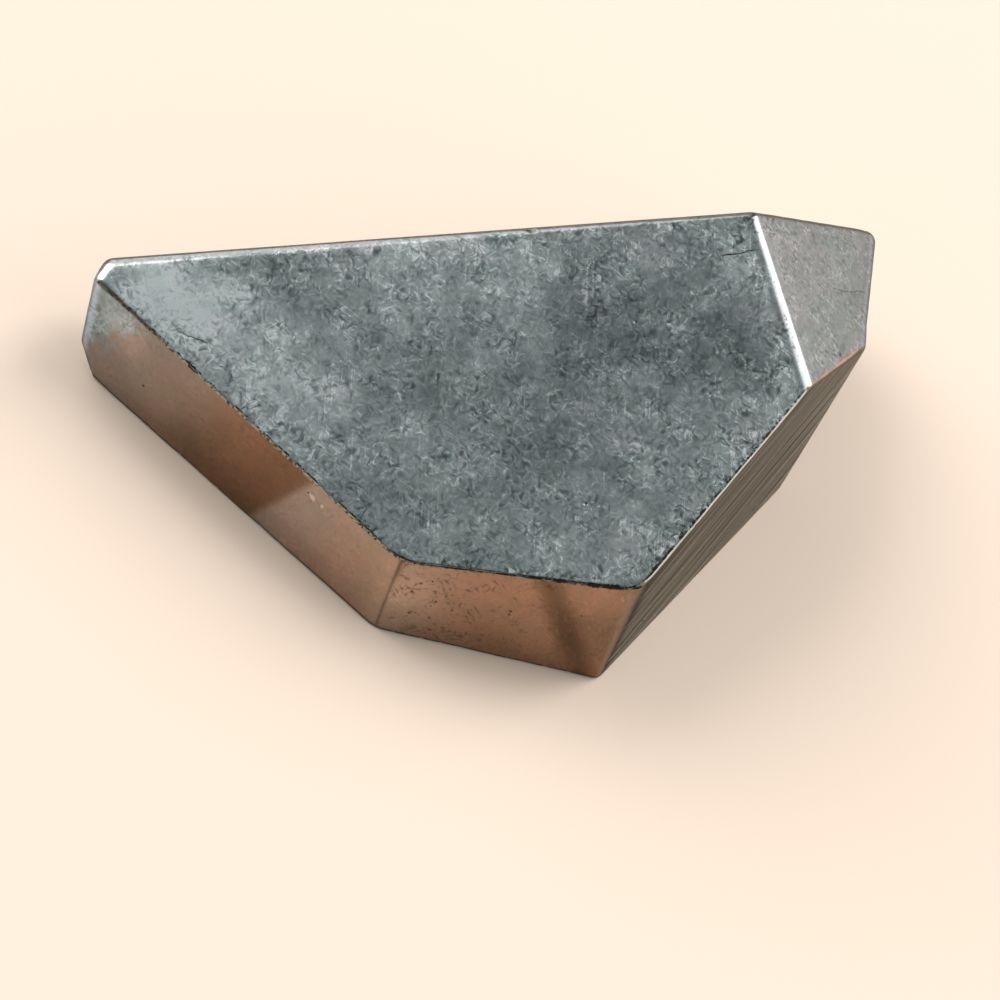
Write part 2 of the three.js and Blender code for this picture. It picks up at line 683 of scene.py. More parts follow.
# The facets that the material treats apart from the rest.
MASKED = ("table", "right_bevel", "left_wall", "front_wall", "right_wall", "back")
MASK_EDGE = (math.cos(math.radians(24)), math.cos(math.radians(6)))  # a mask is 0 at 24 degrees, 1 at 6
WALLS_FACE = (-98, 5)  # bearing and height of the way that the walls face as a whole
BROKEN_DEPTH = 0.02 * MM  # a point that a mark moved by this much counts as wholly broken
# The ridges of these edges are painted tan: partly real wear, partly a painted warm highlight.
WORN_EDGES = (("table", "left_wall"), ("table", "front_wall"))
WORN_WIDTH = 0.20 * MM

# Painted dark lines along edges, which stand in for the dark that the rounded edges mirror: the facet each
# one lies on, the edge it follows, how far in from the edge, its width at the edge's -X and +X ends, and
# how dense it is. One with no inset lies on both sides of its edge.
DARK_EDGE_LINES = [
    ("front_wall", ("table", "front_wall"), 0.0, (0.12 * MM, 0.50 * MM), 1.0),
    ("table", ("table", "right_wall"), 0.34 * MM, (0.24 * MM, 0.11 * MM), 1.0),
    ("table", ("table", "left_wall"), 0.24 * MM, (0.17 * MM, 0.12 * MM), 0.80),
]
# The dark line between the left and front walls is painted shade, in place of the dark line that a crisp
# edge shows.
WALL_EDGE_LINE_WIDTH = 0.15 * MM  # of the dark line between the left and front walls

# The edges from which the material needs the distance of each point.
NAMED_GAPS = {
    "bevel_gap": ("table", "right_bevel"),
    "left_gap": ("left_wall", "left_end"),
    "right_gap": ("right_bevel", "right_end"),
    "warm_gap": ("right_bevel", "right_wall"),
    "back_gap": ("table", "back"),
    "cream_gap": ("table", "right_wall"),
}

# The painted dark line beside the table's edge at the left corner, in place of the dark that the edge
# mirrors: the middle of its length, how far it runs along the edge, how far in from the edge it lies, and
# its width.
TIP_MIDDLE = 4.0 * MM
TIP_LENGTH = 4.4 * MM
TIP_INSET = 0.16 * MM
TIP_WIDTH = 0.24 * MM


def worn_share(points):
    """1 on the ridge of each edge in WORN_EDGES, fading to 0 beside it. Its tan is partly wear and partly a
    painted highlight.
    """
    gaps = [gap_from(points, names) for names in WORN_EDGES]
    return bell(np.min(gaps, axis=0) / WORN_WIDTH)


def grime_share(points, outward):
    """1 in the middle of each painted dark edge line, fading to 0 beside it."""
    total = np.zeros(len(points))
    for facet, names, inset, widths, density in DARK_EDGE_LINES:
        width = np.interp(edge_share(points, *EDGES[pair_of(*names)]), (0.35, 0.95), widths)
        line = density * bell((gap_from(points, names) - inset) / width)
        facing = outward @ normal_of(facet)
        total = np.maximum(total, line * (smoothstep(0.85, 0.97, facing) if inset else 1))
    return total


def tip_share(points, outward):
    """1 on the painted dark line beside the table's edge at the left corner, fading along it."""
    start, end = EDGES[pair_of("table", "left_wall")]
    middle = start + TIP_MIDDLE * unit(end - start)
    length = bell((np.linalg.norm(points - middle, axis=1) / TIP_LENGTH) ** 2)
    width = bell((edge_gap(points, start, end) - TIP_INSET) / TIP_WIDTH)
    return length * width * smoothstep(0.25, 0.60, outward[:, 2])


def wall_share(outward):
    """1 on the three walls below the table and on the edges between them."""
    level = np.sqrt(1 - outward[:, 2] ** 2)
    towards = outward @ direction(*WALLS_FACE)
    return smoothstep(0.80, 0.97, level) * smoothstep(0.40, 0.62, towards)


def point_values(points, outward, gap, marks):
    """{name: its value at every point of the mesh}, for everything that the material reads from it."""
    values = {name: np.clip(moved / BROKEN_DEPTH, 0, 1) for name, moved in marks.items()}
    values["edge_gap"] = gap / MM
    values["worn"] = worn_share(points)
    values["tip"] = tip_share(points, outward)
    values["grime"] = grime_share(points, outward)
    values["painted_wall_edge_line"] = bell(gap_from(points, ("left_wall", "front_wall")) / WALL_EDGE_LINE_WIDTH)
    values["walls"] = wall_share(outward)
    for name, pair in NAMED_GAPS.items():
        values[name] = gap_from(points, pair) / MM
    for name in MASKED:
        values[name] = smoothstep(*MASK_EDGE, outward @ normal_of(name))
    return values


def add_plan(mesh, points, facets):
    """Each facet's own flat coordinates in millimetres, as a UV map."""
    first = np.empty(len(mesh.loops), dtype=np.int32)
    mesh.loops.foreach_get("vertex_index", first)
    plan = np.empty((len(first), 2))
    for number in range(len(NAMES)):
        here = facets[first] == number
        plan[here] = points[first[here]] @ AXES[number].T / MM
    mesh.uv_layers.new(name="plan").data.foreach_set("uv", plan.astype(np.float32).ravel())


def weld(mesh):
    """Joins the facets of the mesh where they share points."""
    work = bmesh.new()
    work.from_mesh(mesh)
    bmesh.ops.remove_doubles(work, verts=work.verts, dist=SAME_POINT)
    work.to_mesh(mesh)
    work.free()


def make_stone(rng):
    """(the stone, the names of the values that every point of its mesh has)."""
    cracks = plan_cracks(rng)
    pits = plan_pits(rng)
    marked = [mark_points(number, cracks, pits) for number in range(len(NAMES))]
    points, triangles, facets = sharp_mesh(marked, rng)
    radius, gap = local_radius(points)
    skin, outward = rounded(points, radius)
    polish = polish_depth(points, gap)
    skin -= polish[:, None] * outward
    marks = {}
    skin, marks["broken"] = chipped(skin, rng)
    skin, marks["pit"] = pitted(skin, polish, pits)
    skin, marks["crack"] = cracked(skin, outward, cracks)
    mesh = bpy.data.meshes.new("shungite_stone")
    mesh.from_pydata(skin.tolist(), [], triangles)
    add_plan(mesh, points, facets)
    values = point_values(points, outward, gap, marks)
    for name, numbers in values.items():
        layer = mesh.attributes.new(name, "FLOAT", "POINT")
        layer.data.foreach_set("value", numbers.astype(np.float32))
    weld(mesh)
    mesh.shade_smooth()
    return add_object("shungite_stone", mesh), list(values)


# ---- Shader nodes ----


class Nodes:
    """Adds shader nodes to one tree. Each call returns the output socket that matters."""

    def __init__(self, tree):
        self.tree = tree

    def add(self, kind, inputs=(), **settings):
        node = self.tree.nodes.new("ShaderNode" + kind)
        for name, value in settings.items():
            setattr(node, name, value)
        for socket, value in dict(inputs).items():
            self.give(node.inputs[socket], value)
        return node

    def give(self, socket, value):
        """Links a socket to another's output, or sets its value."""
        if isinstance(value, bpy.types.NodeSocket):
            self.tree.links.new(value, socket)
        else:
            socket.default_value = (*value, 1) if socket.type == "RGBA" else value

    def math(self, operation, a, b=0.0, c=0.0):
        return self.add("Math", {0: a, 1: b, 2: c}, operation=operation).outputs[0]

    def product(self, *factors):
        return reduce(partial(self.math, "MULTIPLY"), factors)

    def most(self, *values):
        return reduce(partial(self.math, "MAXIMUM"), values)

    def rest(self, share):
        """What a share leaves of 1."""
        return self.math("SUBTRACT", 1.0, share)

    def sum(self, *terms):
        """Adds up terms, each a (socket, weight) pair, a socket or a number."""
        total = 0.0
        for term in terms:
            if isinstance(term, tuple):
                total = self.math("MULTIPLY_ADD", term[0], term[1], total)
            else:
                total = self.math("ADD", total, term)
        return total

    def weighted(self, values, weights, everywhere=0.0):
        """The sum of the named values, each times its weight, and of what holds everywhere."""
        return self.sum(*((values[name], weight) for name, weight in weights.items()), everywhere)

    def vector(self, operation, a, b=(0.0, 0.0, 0.0)):
        outputs = self.add("VectorMath", {0: a, 1: b}, operation=operation).outputs
        return outputs["Value" if operation in ("DOT_PRODUCT", "DISTANCE") else "Vector"]

    def dot(self, a, b):
        return self.vector("DOT_PRODUCT", a, tuple(b))

    def scaled(self, a, factor):
        return self.add("VectorMath", {0: a, "Scale": factor}, operation="SCALE").outputs[0]

    def placed(self, at, turn=0.0, size=(1.0, 1.0), move=(0.0, 0.0)):
        """Moves the origin, turns the axes, then measures along them in units of `size`."""
        turned = (0, 0, math.radians(turn))
        inputs = {"Vector": at, "Rotation": turned, "Scale": (*size, 1.0), "Location": (*move, 0.0)}
        return self.add("Mapping", inputs, vector_type="TEXTURE").outputs[0]

    def noise(self, at, scale, detail=2.0, roughness=0.5, distortion=0.0, colour=False, flat=False):
        inputs = {"Vector": at, "Scale": scale, "Detail": detail, "Roughness": roughness}
        inputs["Distortion"] = distortion
        node = self.add("TexNoise", inputs, noise_dimensions="2D" if flat else "3D")
        return node.outputs["Color" if colour else "Fac"]

    def ramp(self, x, low, high, to_low=0.0, to_high=1.0):
        inputs = {"Value": x, 1: low, 2: high, 3: to_low, 4: to_high}
        return self.add("MapRange", inputs, interpolation_type="SMOOTHSTEP").outputs[0]

    def mix(self, factor, a, b, blend="MIX"):
        node = self.add("Mix", {0: factor}, data_type="RGBA", blend_type=blend)
        self.give(node.inputs[6], a)
        self.give(node.inputs[7], b)
        return node.outputs[2]

    def attribute(self, name):
        return self.add("Attribute", attribute_name=name).outputs["Fac"]


# ---- The stone's material ----

# Reflectance of the polished stone, from its darkest strokes to its brightest flecks.
TONES = [
    (0.00, (0.036, 0.042, 0.042)),
    (0.30, (0.092, 0.106, 0.106)),
    (0.50, (0.158, 0.178, 0.178)),
    (0.72, (0.270, 0.290, 0.290)),
    (1.00, (0.500, 0.520, 0.520)),
]
MIDDLE_TONE = 0.5

# Families of strokes on the facets: (turn in degrees, length in mm, width in mm).
BRIGHT_STROKES = [(12, 0.66, 0.28), (47, 0.6, 0.27), (83, 0.58, 0.29), (121, 0.7, 0.27), (158, 0.6, 0.28)]
DARK_STROKES = [(28, 0.60, 0.32), (66, 0.66, 0.30), (103, 0.60, 0.33), (141, 0.66, 0.31)]
LONG_SCRATCHES = [(74, 5.5, 0.17), (131, 4.5, 0.16)]
DARK_SCUFFS = [(20, 0.7, 0.27), (75, 0.6, 0.28), (140, 0.7, 0.27)]
PALE_SCUFFS = [(115, 1.8, 0.17), (135, 2.0, 0.17)]

# What each part of the felted texture adds to the tone, and how strongly the felt, the soft clouds and
# the felt's relief show: a share for each of the named places, on top of the one everywhere.
FELT = {"curls": 0.44, "fine": 0.15, "bright": 0.19, "dark": -0.29, "specks": 0.08, "scratches": 0.11}
FELT_LEVEL = -0.27
FELT_SHARES = {"table": 0.82, "right_bevel": 0.36, "grey_corner_reflection": 0.42, "back_rim": 0.30, "left_rim_sheen": 0.20}
FELT_EVERYWHERE = 0.18
CLOUD_SHARES = {"table": 0.65, "right_bevel": -0.20}
CLOUDS_EVERYWHERE = 0.35
FELT_HEIGHTS = {"curls": 1.0, "bright": 0.4, "dark": -0.4, "fine": 0.3}
FELT_RELIEF = 0.012 * MM
RELIEF_SHARES = {"table": 0.16, "right_bevel": 0.02}
RELIEF_EVERYWHERE = 0.08
GROOVE_RELIEF = 0.30 * MM  # of the right wall's polishing lines

# How much lighter or darker each place is than the rest of the stone.
SHADES = {
    "table": 0.072,
    "right_bevel": 0.035,
    # Painted light and shade: the walls are lighter and the right wall darker, in place of what they
    # mirror.
    "walls": 0.13,
    "right_wall": -0.37,
    "back": -0.12,
    "grey_corner_reflection": 0.07,
    "left_rim_sheen": 0.34,
    "right_rim_sheen": 0.12,
    "back_rim": 0.05,
    "brink": -0.16,
    "painted_wall_edge_line": -0.25,
    "rim_flaws": -0.40,
    "streaks": 0.5,
    "sheen_dark_side": -0.20,
    "sheen_light_side": 0.10,
    "dark_reflection_line": -0.26,
    "dark_scuffs": -0.28,
    "pale_scuffs": 0.13,
}

# What the colour is multiplied by on each place, and the colours of the marks on the stone. The brown,
# ruddy, grey corner, rim and cream ridge tints are painted reflections, and so is the orange line.
TINTS = {
    "purple_patches": (1.05, 0.99, 1.01),
    "brown_wall_reflection": (1.33, 0.91, 0.70),
    "ruddy_wall_reflection": (1.02, 0.80, 0.67),
    "grey_corner_reflection": (0.92, 1.10, 1.20),
    "right_wall": (1.04, 1.01, 0.96),
    "rims": (0.92, 1.02, 1.20),
    "cream_ridge_sheen": (1.08, 0.98, 0.82),
}
ORANGE_REFLECTION = (0.42, 0.23, 0.17)
RUBBLE_SHADOW = (0.018, 0.017, 0.014)
CHIP_COLOUR = (0.13, 0.12, 0.10)
# Tan of the ridges in WORN_EDGES, partly wear and partly a painted warm highlight.
RIDGE_COLOUR = (0.44, 0.34, 0.22)
# Colour of the dark filling in cracks and pits, and of the painted shade along the edges and at the left
# corner.
DIRT_AND_SHADE_COLOUR = (0.024, 0.023, 0.020)
EDGE_ON_TINT = (0.50, 0.49, 0.45)  # of what the stone mirrors where it is seen edge on

ROUGH_SHARES = {"table": 0.12, "right_bevel": 0.12}
ROUGHNESS = 0.08
BROKEN_ROUGHNESS = 0.75

# Soft lighter and darker areas of the facets: pixel of the photograph, radius in mm, change of tone. On the
# walls they are painted reflections, and the tiny bright ones on the left wall are painted glints.
AREAS = {
    "table": [
        ((160, 295), 9.0, 0.37), ((240, 340), 7.0, 0.20), ((300, 400), 7.0, 0.20),
        ((400, 265), 9.0, 0.16), ((505, 265), 6.0, 0.15), ((590, 330), 8.0, -0.13),
        ((670, 340), 9.0, -0.13), ((640, 328), 1.8, -0.15), ((540, 430), 9.0, -0.07),
        ((745, 350), 6.0, -0.16), ((440, 390), 5.0, -0.06), ((350, 480), 5.0, -0.05),
        ((735, 268), 3.0, 0.10), ((560, 545), 6.0, 0.05),
    ],
    "left_wall": [
        ((125, 330), 4.0, 0.12), ((150, 385), 5.0, 0.03), ((205, 430), 5.0, -0.04),
        ((310, 495), 0.5, 0.60), ((322, 505), 0.3, 0.40), ((209, 418), 0.22, 0.40),
        ((220, 428), 0.22, 0.40), ((246, 501), 0.28, 0.35),
    ],
    "front_wall": [((405, 595), 4.5, 0.11), ((500, 630), 4.0, -0.02), ((590, 640), 6.0, -0.14)],
}
AREA_STRAY = {"table": 9.0, "left_wall": 2.0, "front_wall": 2.0}  # how far their rims stray, in mm

# Lines across the walls, each as the facet and two pixels of the photograph that it passes.
GREY_CORNER = ("left_wall", (84, 350), (143, 324))
SHEEN_TURN = ("left_wall", (252, 514), (305, 486))
LEFT_RUDDY = ("left_wall", (150, 440), (210, 395))
FRONT_RUDDY = ("front_wall", (430, 640), (445, 575))
# A painted dark reflection runs down the front wall along this line.
DARK_REFLECTION_LINE = ("front_wall", (549, 584), (580, 668))
SCUFFS_TURN = (500, 615)  # the pixel on the front wall where its scuffs turn from dark to pale
SCUFFS_BLEND = 6  # mm


def plan_place(pixel, facet):
    """Where a pixel of the photograph lies in a facet's own flat coordinates, in millimetres."""
    u, v = AXES[NAMES.index(facet)]
    point = under_pixel(pixel, facet)
    return (point @ u / MM, point @ v / MM, 0.0)


def beyond(nodes, plan, line):
    """How far, in mm, a place of a facet lies to the left of a line across it."""
    facet, start, end = line
    first, last = (np.array(plan_place(pixel, facet)) for pixel in (start, end))
    run = unit(last - first)
    across = (-run[1], run[0], 0.0)
    return nodes.math("SUBTRACT", nodes.dot(plan, across), float(first @ across))


def rim_flaws(nodes, plan, on):
    """Small dark flaws close to the rim of the table, in loose groups."""
    rim = nodes.ramp(on["edge_gap"], 1.2, 0.35)
    flaws = nodes.ramp(nodes.noise(plan, 2.4, flat=True), 0.52, 0.66)
    groups = nodes.ramp(nodes.noise(plan, 0.35, detail=1.0, flat=True), 0.42, 0.58)
    return nodes.product(rim, flaws, groups, on["table"])


def striations(nodes, plan):
    """Long polishing lines and scratches that run along the right wall."""
    start, end = EDGES[pair_of("right_wall", "table")]
    u, v = AXES[NAMES.index("right_wall")]
    turn = math.degrees(math.atan2((end - start) @ v, (end - start) @ u))
    bands = nodes.noise(nodes.placed(plan, turn, (15.0, 2.1), (3.0, 1.0)), 1.0, detail=1.0, flat=True)
    lines = nodes.noise(nodes.placed(plan, turn + 1, (16.0, 0.8), (9.0, 4.0)), 1.0, detail=1.0, flat=True)
    return nodes.sum((bands, 0.38), (lines, 0.26), -0.32)


def find_rims(nodes, plan, on):
    """Adds the places beside the edges of the facets."""
    off_table = nodes.rest(on["table"])
    # Painted reflection: the rims beside the left end and the right end are made lighter, and bluer by the
    # tint rims.
    on["left_rim_sheen"] = nodes.ramp(on["left_gap"], 1.3, 0.5)
    on["right_rim_sheen"] = nodes.ramp(on["right_gap"], 1.3, 0.6)
    on["rims"] = nodes.most(on["left_rim_sheen"], on["right_rim_sheen"])
    on["back_rim"] = nodes.product(nodes.ramp(on["back_gap"], 1.4, 0.7), nodes.rest(on["back"]), off_table)
    # Painted reflection: a cream sheen on the ridge between the table and the right wall.
    on["cream_ridge_sheen"] = nodes.product(nodes.ramp(on["cream_gap"], 0.6, 0.25), off_table)
    on["brink"] = nodes.product(nodes.ramp(on["bevel_gap"], 1.3, 0.7), on["table"])
    on["sleek"] = nodes.ramp(on["bevel_gap"], 0.6, 1.4, 0.25, 1.0)  # less felt on the bevel's worn edge
    on["rim_flaws"] = rim_flaws(nodes, plan, on)


def find_wall_places(nodes, plan, on, ragged):
    """Adds the soft bands and patches of the polished walls, all of them painted reflections."""
    left, front = on["left_wall"], on["front_wall"]
    # Painted reflection: above GREY_CORNER the left wall is lighter, greyer and felted.
    above = beyond(nodes, plan, GREY_CORNER)
    on["grey_corner_reflection"] = nodes.product(nodes.ramp(nodes.sum(above, (ragged, 4.0), -2.0), -1.1, 1.2), left)
    # Painted reflection: the left wall is darker on one side of SHEEN_TURN and lighter on the other.
    past = beyond(nodes, plan, SHEEN_TURN)
    after = nodes.ramp(past, 0.4, -0.5)
    on["sheen_dark_side"] = nodes.product(nodes.ramp(past, 15.0, 0.5), nodes.ramp(past, -0.5, 0.4), left)
    on["sheen_light_side"] = nodes.product(after, nodes.ramp(past, -16.0, -2.0, 0.6, 1.0), left)
    # Painted dark reflection: a soft dark line down the front wall.
    dark_reflection_line = nodes.math("ABSOLUTE", beyond(nodes, plan, DARK_REFLECTION_LINE))
    on["dark_reflection_line"] = nodes.product(nodes.ramp(dark_reflection_line, 1.9, 0.0), front)
    # Painted warm reflection: the walls are redder below LEFT_RUDDY, beyond FRONT_RUDDY and along the dark
    # reflection line.
    low = nodes.product(nodes.ramp(beyond(nodes, plan, LEFT_RUDDY), 2.0, -6.0), nodes.ramp(past, -1.0, 1.0))
    right = nodes.product(nodes.ramp(beyond(nodes, plan, FRONT_RUDDY), 4.0, -6.0), front)
    on["ruddy_wall_reflection"] = nodes.sum(nodes.product(low, left), (right, 0.8), (on["dark_reflection_line"], 0.6))
    # Painted warm reflection: the walls are tinted brown, less on the grey corner, on the right wall and
    # where the left wall is dull.
    dull = nodes.product(after, nodes.ramp(past, -8.0, -1.0))
    dull = nodes.product(nodes.sum(nodes.ramp(above, -11.0, -1.0), (dull, 0.8)), left)
    less = ((on["grey_corner_reflection"], -1.0), (on["right_wall"], -1.0), (dull, -0.45))
    on["brown_wall_reflection"] = nodes.sum(on["walls"], *less)


def stroke_family(nodes, at, turn, length, width, seed, sparse):
    """Short soft strokes that all run one way, gathered in loose patches."""
    lines = nodes.placed(at, turn, (length, width), (seed * 7.3, seed * 3.1))
    strokes = nodes.ramp(nodes.noise(lines, 1.0, detail=0.0, flat=True), 0.50, 0.98)
    patches = nodes.noise(nodes.placed(at, move=(seed * 5.7, seed * 9.1)), 0.6, detail=1.0, flat=True)
    return nodes.product(strokes, nodes.ramp(patches, 0.42 + sparse, 0.66 + sparse))


def all_strokes(nodes, at, families, first_seed, sparse=0.0):
    """Several families of strokes on top of each other."""
    made = []
    for seed, (turn, length, width) in enumerate(families, first_seed):
        made.append(stroke_family(nodes, at, turn, length, width, seed, sparse))
    return nodes.math("MINIMUM", nodes.sum(*made), 1.0)


def strayed(nodes, plan, wander, reach):
    """The flat coordinates, pushed about by colour noise that spans `reach` mm."""
    return nodes.vector("ADD", plan, nodes.scaled(nodes.vector("SUBTRACT", wander, (0.5, 0.5, 0.5)), reach))


def flecks(nodes, plan):
    """Small bright specks, in about a fifth of the cells of a random pattern."""
    cells = nodes.add("TexVoronoi", {"Vector": plan, "Scale": 1.2}, voronoi_dimensions="2D")
    chosen = nodes.ramp(nodes.dot(cells.outputs["Color"], (1.0, 0.0, 0.0)), 0.76, 0.84)
    return nodes.product(nodes.ramp(cells.outputs["Distance"], 0.20, 0.06), chosen)


def long_scratches(nodes, plan):
    """A few long thin scratches, lighter than the stone around them."""
    made = []
    for seed, (turn, length, width) in enumerate(LONG_SCRATCHES, 31):
        lines = nodes.placed(plan, turn, (length, width), (seed * 2.3, seed))
        lines = nodes.ramp(nodes.noise(lines, 1.0, detail=0.0, flat=True), 0.66, 0.80)
        parts = nodes.placed(plan, move=(seed * 1.9, seed * 4.7))
        parts = nodes.ramp(nodes.noise(parts, 0.30, detail=1.0, flat=True), 0.50, 0.62)
        made.append(nodes.product(lines, parts))
    return nodes.sum(*made)


def felt_parts(nodes, plan):
    """{name: each part of the felted texture}. The coordinates are bent, so its strokes are curved."""
    bent = strayed(nodes, plan, nodes.noise(plan, 0.9, detail=1.0, colour=True, flat=True), 0.8)
    return {
        "curls": nodes.noise(bent, 1.5, detail=2.5, roughness=0.55, distortion=0.6, flat=True),
        "fine": nodes.noise(bent, 3.2, detail=1.0, distortion=0.4, flat=True),
        "bright": all_strokes(nodes, bent, BRIGHT_STROKES, 1),
        "dark": all_strokes(nodes, bent, DARK_STROKES, 11),
        "specks": flecks(nodes, bent),
        "scratches": long_scratches(nodes, plan),
    }


def felt_texture(nodes, plan, on, parts):
    """The felt's change of tone, calmer in some patches and crisper close to the edges."""
    calm = nodes.ramp(nodes.noise(plan, 0.33, flat=True), 0.36, 0.62, 0.55, 1.15)
    crisp = nodes.ramp(on["edge_gap"], 3.2, 0.6, 1.0, 1.25)
    return nodes.product(nodes.weighted(parts, FELT, FELT_LEVEL), calm, crisp)


def add_scuffs(nodes, plan, on):
    """Adds short dark scuffs on the left half of the front wall, and pale fine ones on its right half."""
    middle = plan_place(SCUFFS_TURN, "front_wall")[0]
    across = nodes.dot(plan, (1.0, 0.0, 0.0))
    right_side = nodes.ramp(across, middle - SCUFFS_BLEND, middle + SCUFFS_BLEND)
    left_side = nodes.math("SUBTRACT", 1.3, right_side)
    dark = all_strokes(nodes, plan, DARK_SCUFFS, 41, 0.07)
    pale = all_strokes(nodes, plan, PALE_SCUFFS, 51, 0.04)
    on["dark_scuffs"] = nodes.product(dark, left_side, on["front_wall"])
    on["pale_scuffs"] = nodes.product(pale, right_side, on["front_wall"])


def area_change(nodes, plan, on, facet):
    """The change of tone from a facet's soft lighter and darker areas."""
    wander = nodes.noise(plan, 0.28, detail=3.0, roughness=0.6, colour=True, flat=True)
    at = strayed(nodes, plan, wander, AREA_STRAY[facet])
    terms = []
    for pixel, radius, change in AREAS[facet]:
        distance = nodes.vector("DISTANCE", at, plan_place(pixel, facet))
        terms.append((nodes.ramp(distance, radius, 0.2 * radius), change))
    return nodes.product(nodes.sum(*terms), on[facet])


def stone_tone(nodes, plan, solid, on, felt, clouds):
    """The tone of the unbroken stone, which TONES turns into a colour."""
    areas = {facet: area_change(nodes, plan, on, facet) for facet in AREAS}
    soft = nodes.ramp(areas["table"], 0.12, 0.40, 1.0, 0.74)  # the felt is softer in the light areas
    felt = nodes.product(felt, nodes.weighted(on, FELT_SHARES, FELT_EVERYWHERE), on["sleek"], soft)
    patches = nodes.noise(solid, 0.10)
    clouding = nodes.sum((clouds, 0.44), (patches, 0.24), -0.34)
    clouding = nodes.product(clouding, nodes.weighted(on, CLOUD_SHARES, CLOUDS_EVERYWHERE))
    return nodes.sum(felt, clouding, *areas.values(), nodes.weighted(on, SHADES, MIDDLE_TONE))


def tone_colour(nodes, tone):
    """The reflectance that goes with a tone."""
    node = nodes.add("ValToRGB", {"Fac": tone})
    stops = node.color_ramp.elements
    while len(stops) < len(TONES):
        stops.new(MIDDLE_TONE)
    for stop, (place, colour) in zip(stops, TONES):
        stop.position = place
        stop.color = (*colour, 1)
    return node.outputs["Color"]


def orange_reflection(nodes, on, ragged):
    """How much of the bevel's thin orange lower edge shows, a painted orange reflection."""
    line = nodes.ramp(on["warm_gap"], 0.42, 0.28)
    return nodes.product(line, on["right_bevel"], nodes.ramp(ragged, 0.40, 0.58, 0.40, 0.85))


def weathered(nodes, solid, on, colour):
    """Adds matt rubble on chips and on the ridges of WORN_EDGES, whose tan is partly a painted highlight;
    dark filling in cracks and pits; and painted shade along the edges and at the left corner. (colour, how
    broken the surface is)
    """
    crumbs = nodes.noise(solid, 3.5)
    drift = nodes.noise(solid, 0.9, detail=3.0)
    pale = nodes.mix(on["worn"], CHIP_COLOUR, RIDGE_COLOUR)
    rubble = nodes.mix(nodes.ramp(crumbs, 0.38, 0.56), RUBBLE_SHADOW, pale)
    wear = nodes.product(on["worn"], nodes.ramp(drift, 0.26, 0.48))
    spoilt = nodes.most(nodes.product(on["broken"], 0.75), wear)
    colour = nodes.mix(spoilt, colour, rubble)
    filled = nodes.product(on["crack"], nodes.ramp(nodes.noise(solid, 1.3, detail=1.0), 0.28, 0.42))
    # Painted shade: the dark lines along the edges, broken up by noise.
    gathered = nodes.product(on["grime"], nodes.sum((crumbs, 2.0), (drift, 2.2), -1.35))
    gathered = nodes.ramp(gathered, 0.38, 0.75)
    dirt_and_shade = nodes.most(filled, nodes.product(on["pit"], 0.7), nodes.product(on["tip"], 0.85), gathered)
    return nodes.mix(dirt_and_shade, colour, DIRT_AND_SHADE_COLOUR), spoilt


def stone_relief(nodes, on, parts, streaks):
    """The felt's low relief and the right wall's polishing lines, as a bent normal."""
    height = nodes.weighted(parts, FELT_HEIGHTS)
    strength = nodes.product(nodes.weighted(on, RELIEF_SHARES, RELIEF_EVERYWHERE), on["sleek"])
    felted = nodes.add("Bump", {"Height": height, "Distance": FELT_RELIEF, "Strength": strength})
    grooves = {"Height": streaks, "Distance": GROOVE_RELIEF, "Strength": on["right_wall"]}
    return nodes.add("Bump", {**grooves, "Normal": felted.outputs[0]}).outputs[0]


def stone_material(names):
    """The polished stone. The names are those of the values that every point of its mesh has."""
    material, shader = add_material("polished_shungite")
    nodes = Nodes(material.node_tree)
    solid = nodes.scaled(nodes.add("TexCoord").outputs["Object"], 1 / MM)
    plan = nodes.add("UVMap", uv_map="plan").outputs[0]
    ragged = nodes.noise(plan, 0.9, flat=True)
    clouds = nodes.noise(solid, 0.32, detail=4.0, roughness=0.62)
    streaks = striations(nodes, plan)
    on = {name: nodes.attribute(name) for name in names}  # how much each point is on the named place
    find_rims(nodes, plan, on)
    find_wall_places(nodes, plan, on, ragged)
    add_scuffs(nodes, plan, on)
    on["streaks"] = nodes.product(streaks, on["right_wall"])
    on["purple_patches"] = nodes.ramp(nodes.noise(solid, 0.22), 0.42, 0.60)
    parts = felt_parts(nodes, plan)
    felt = felt_texture(nodes, plan, on, parts)

    colour = tone_colour(nodes, stone_tone(nodes, plan, solid, on, felt, clouds))
    for place, tint in TINTS.items():
        colour = nodes.mix(on[place], colour, tint, "MULTIPLY")
    colour = nodes.mix(orange_reflection(nodes, on, ragged), colour, ORANGE_REFLECTION)
    colour, spoilt = weathered(nodes, solid, on, colour)
    rough = nodes.sum(nodes.weighted(on, ROUGH_SHARES, ROUGHNESS), (felt, 0.12), (clouds, 0.10))
    rough = nodes.most(rough, nodes.product(spoilt, BROKEN_ROUGHNESS))

    nodes.give(shader.inputs["Base Color"], colour)
    nodes.give(shader.inputs["Roughness"], rough)
    nodes.give(shader.inputs["Normal"], stone_relief(nodes, on, parts, streaks))
    shader.inputs["Metallic"].default_value = 1.0
    shader.inputs["Specular Tint"].default_value = (*EDGE_ON_TINT, 1)
    return material


stone, value_names = make_stone(np.random.default_rng(SEED))
stone.data.materials.append(stone_material(value_names))
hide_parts("stone")
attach(stone, "root")

# ---- Floor and light ----

FLOOR_SIDE = 3.0
FLOOR_DROP = 0.02 * MM  # below the stone's base
FLOOR_COLOUR = (0.51, 0.425, 0.355)
BACKDROP_COLOUR = (0.83, 0.715, 0.605)

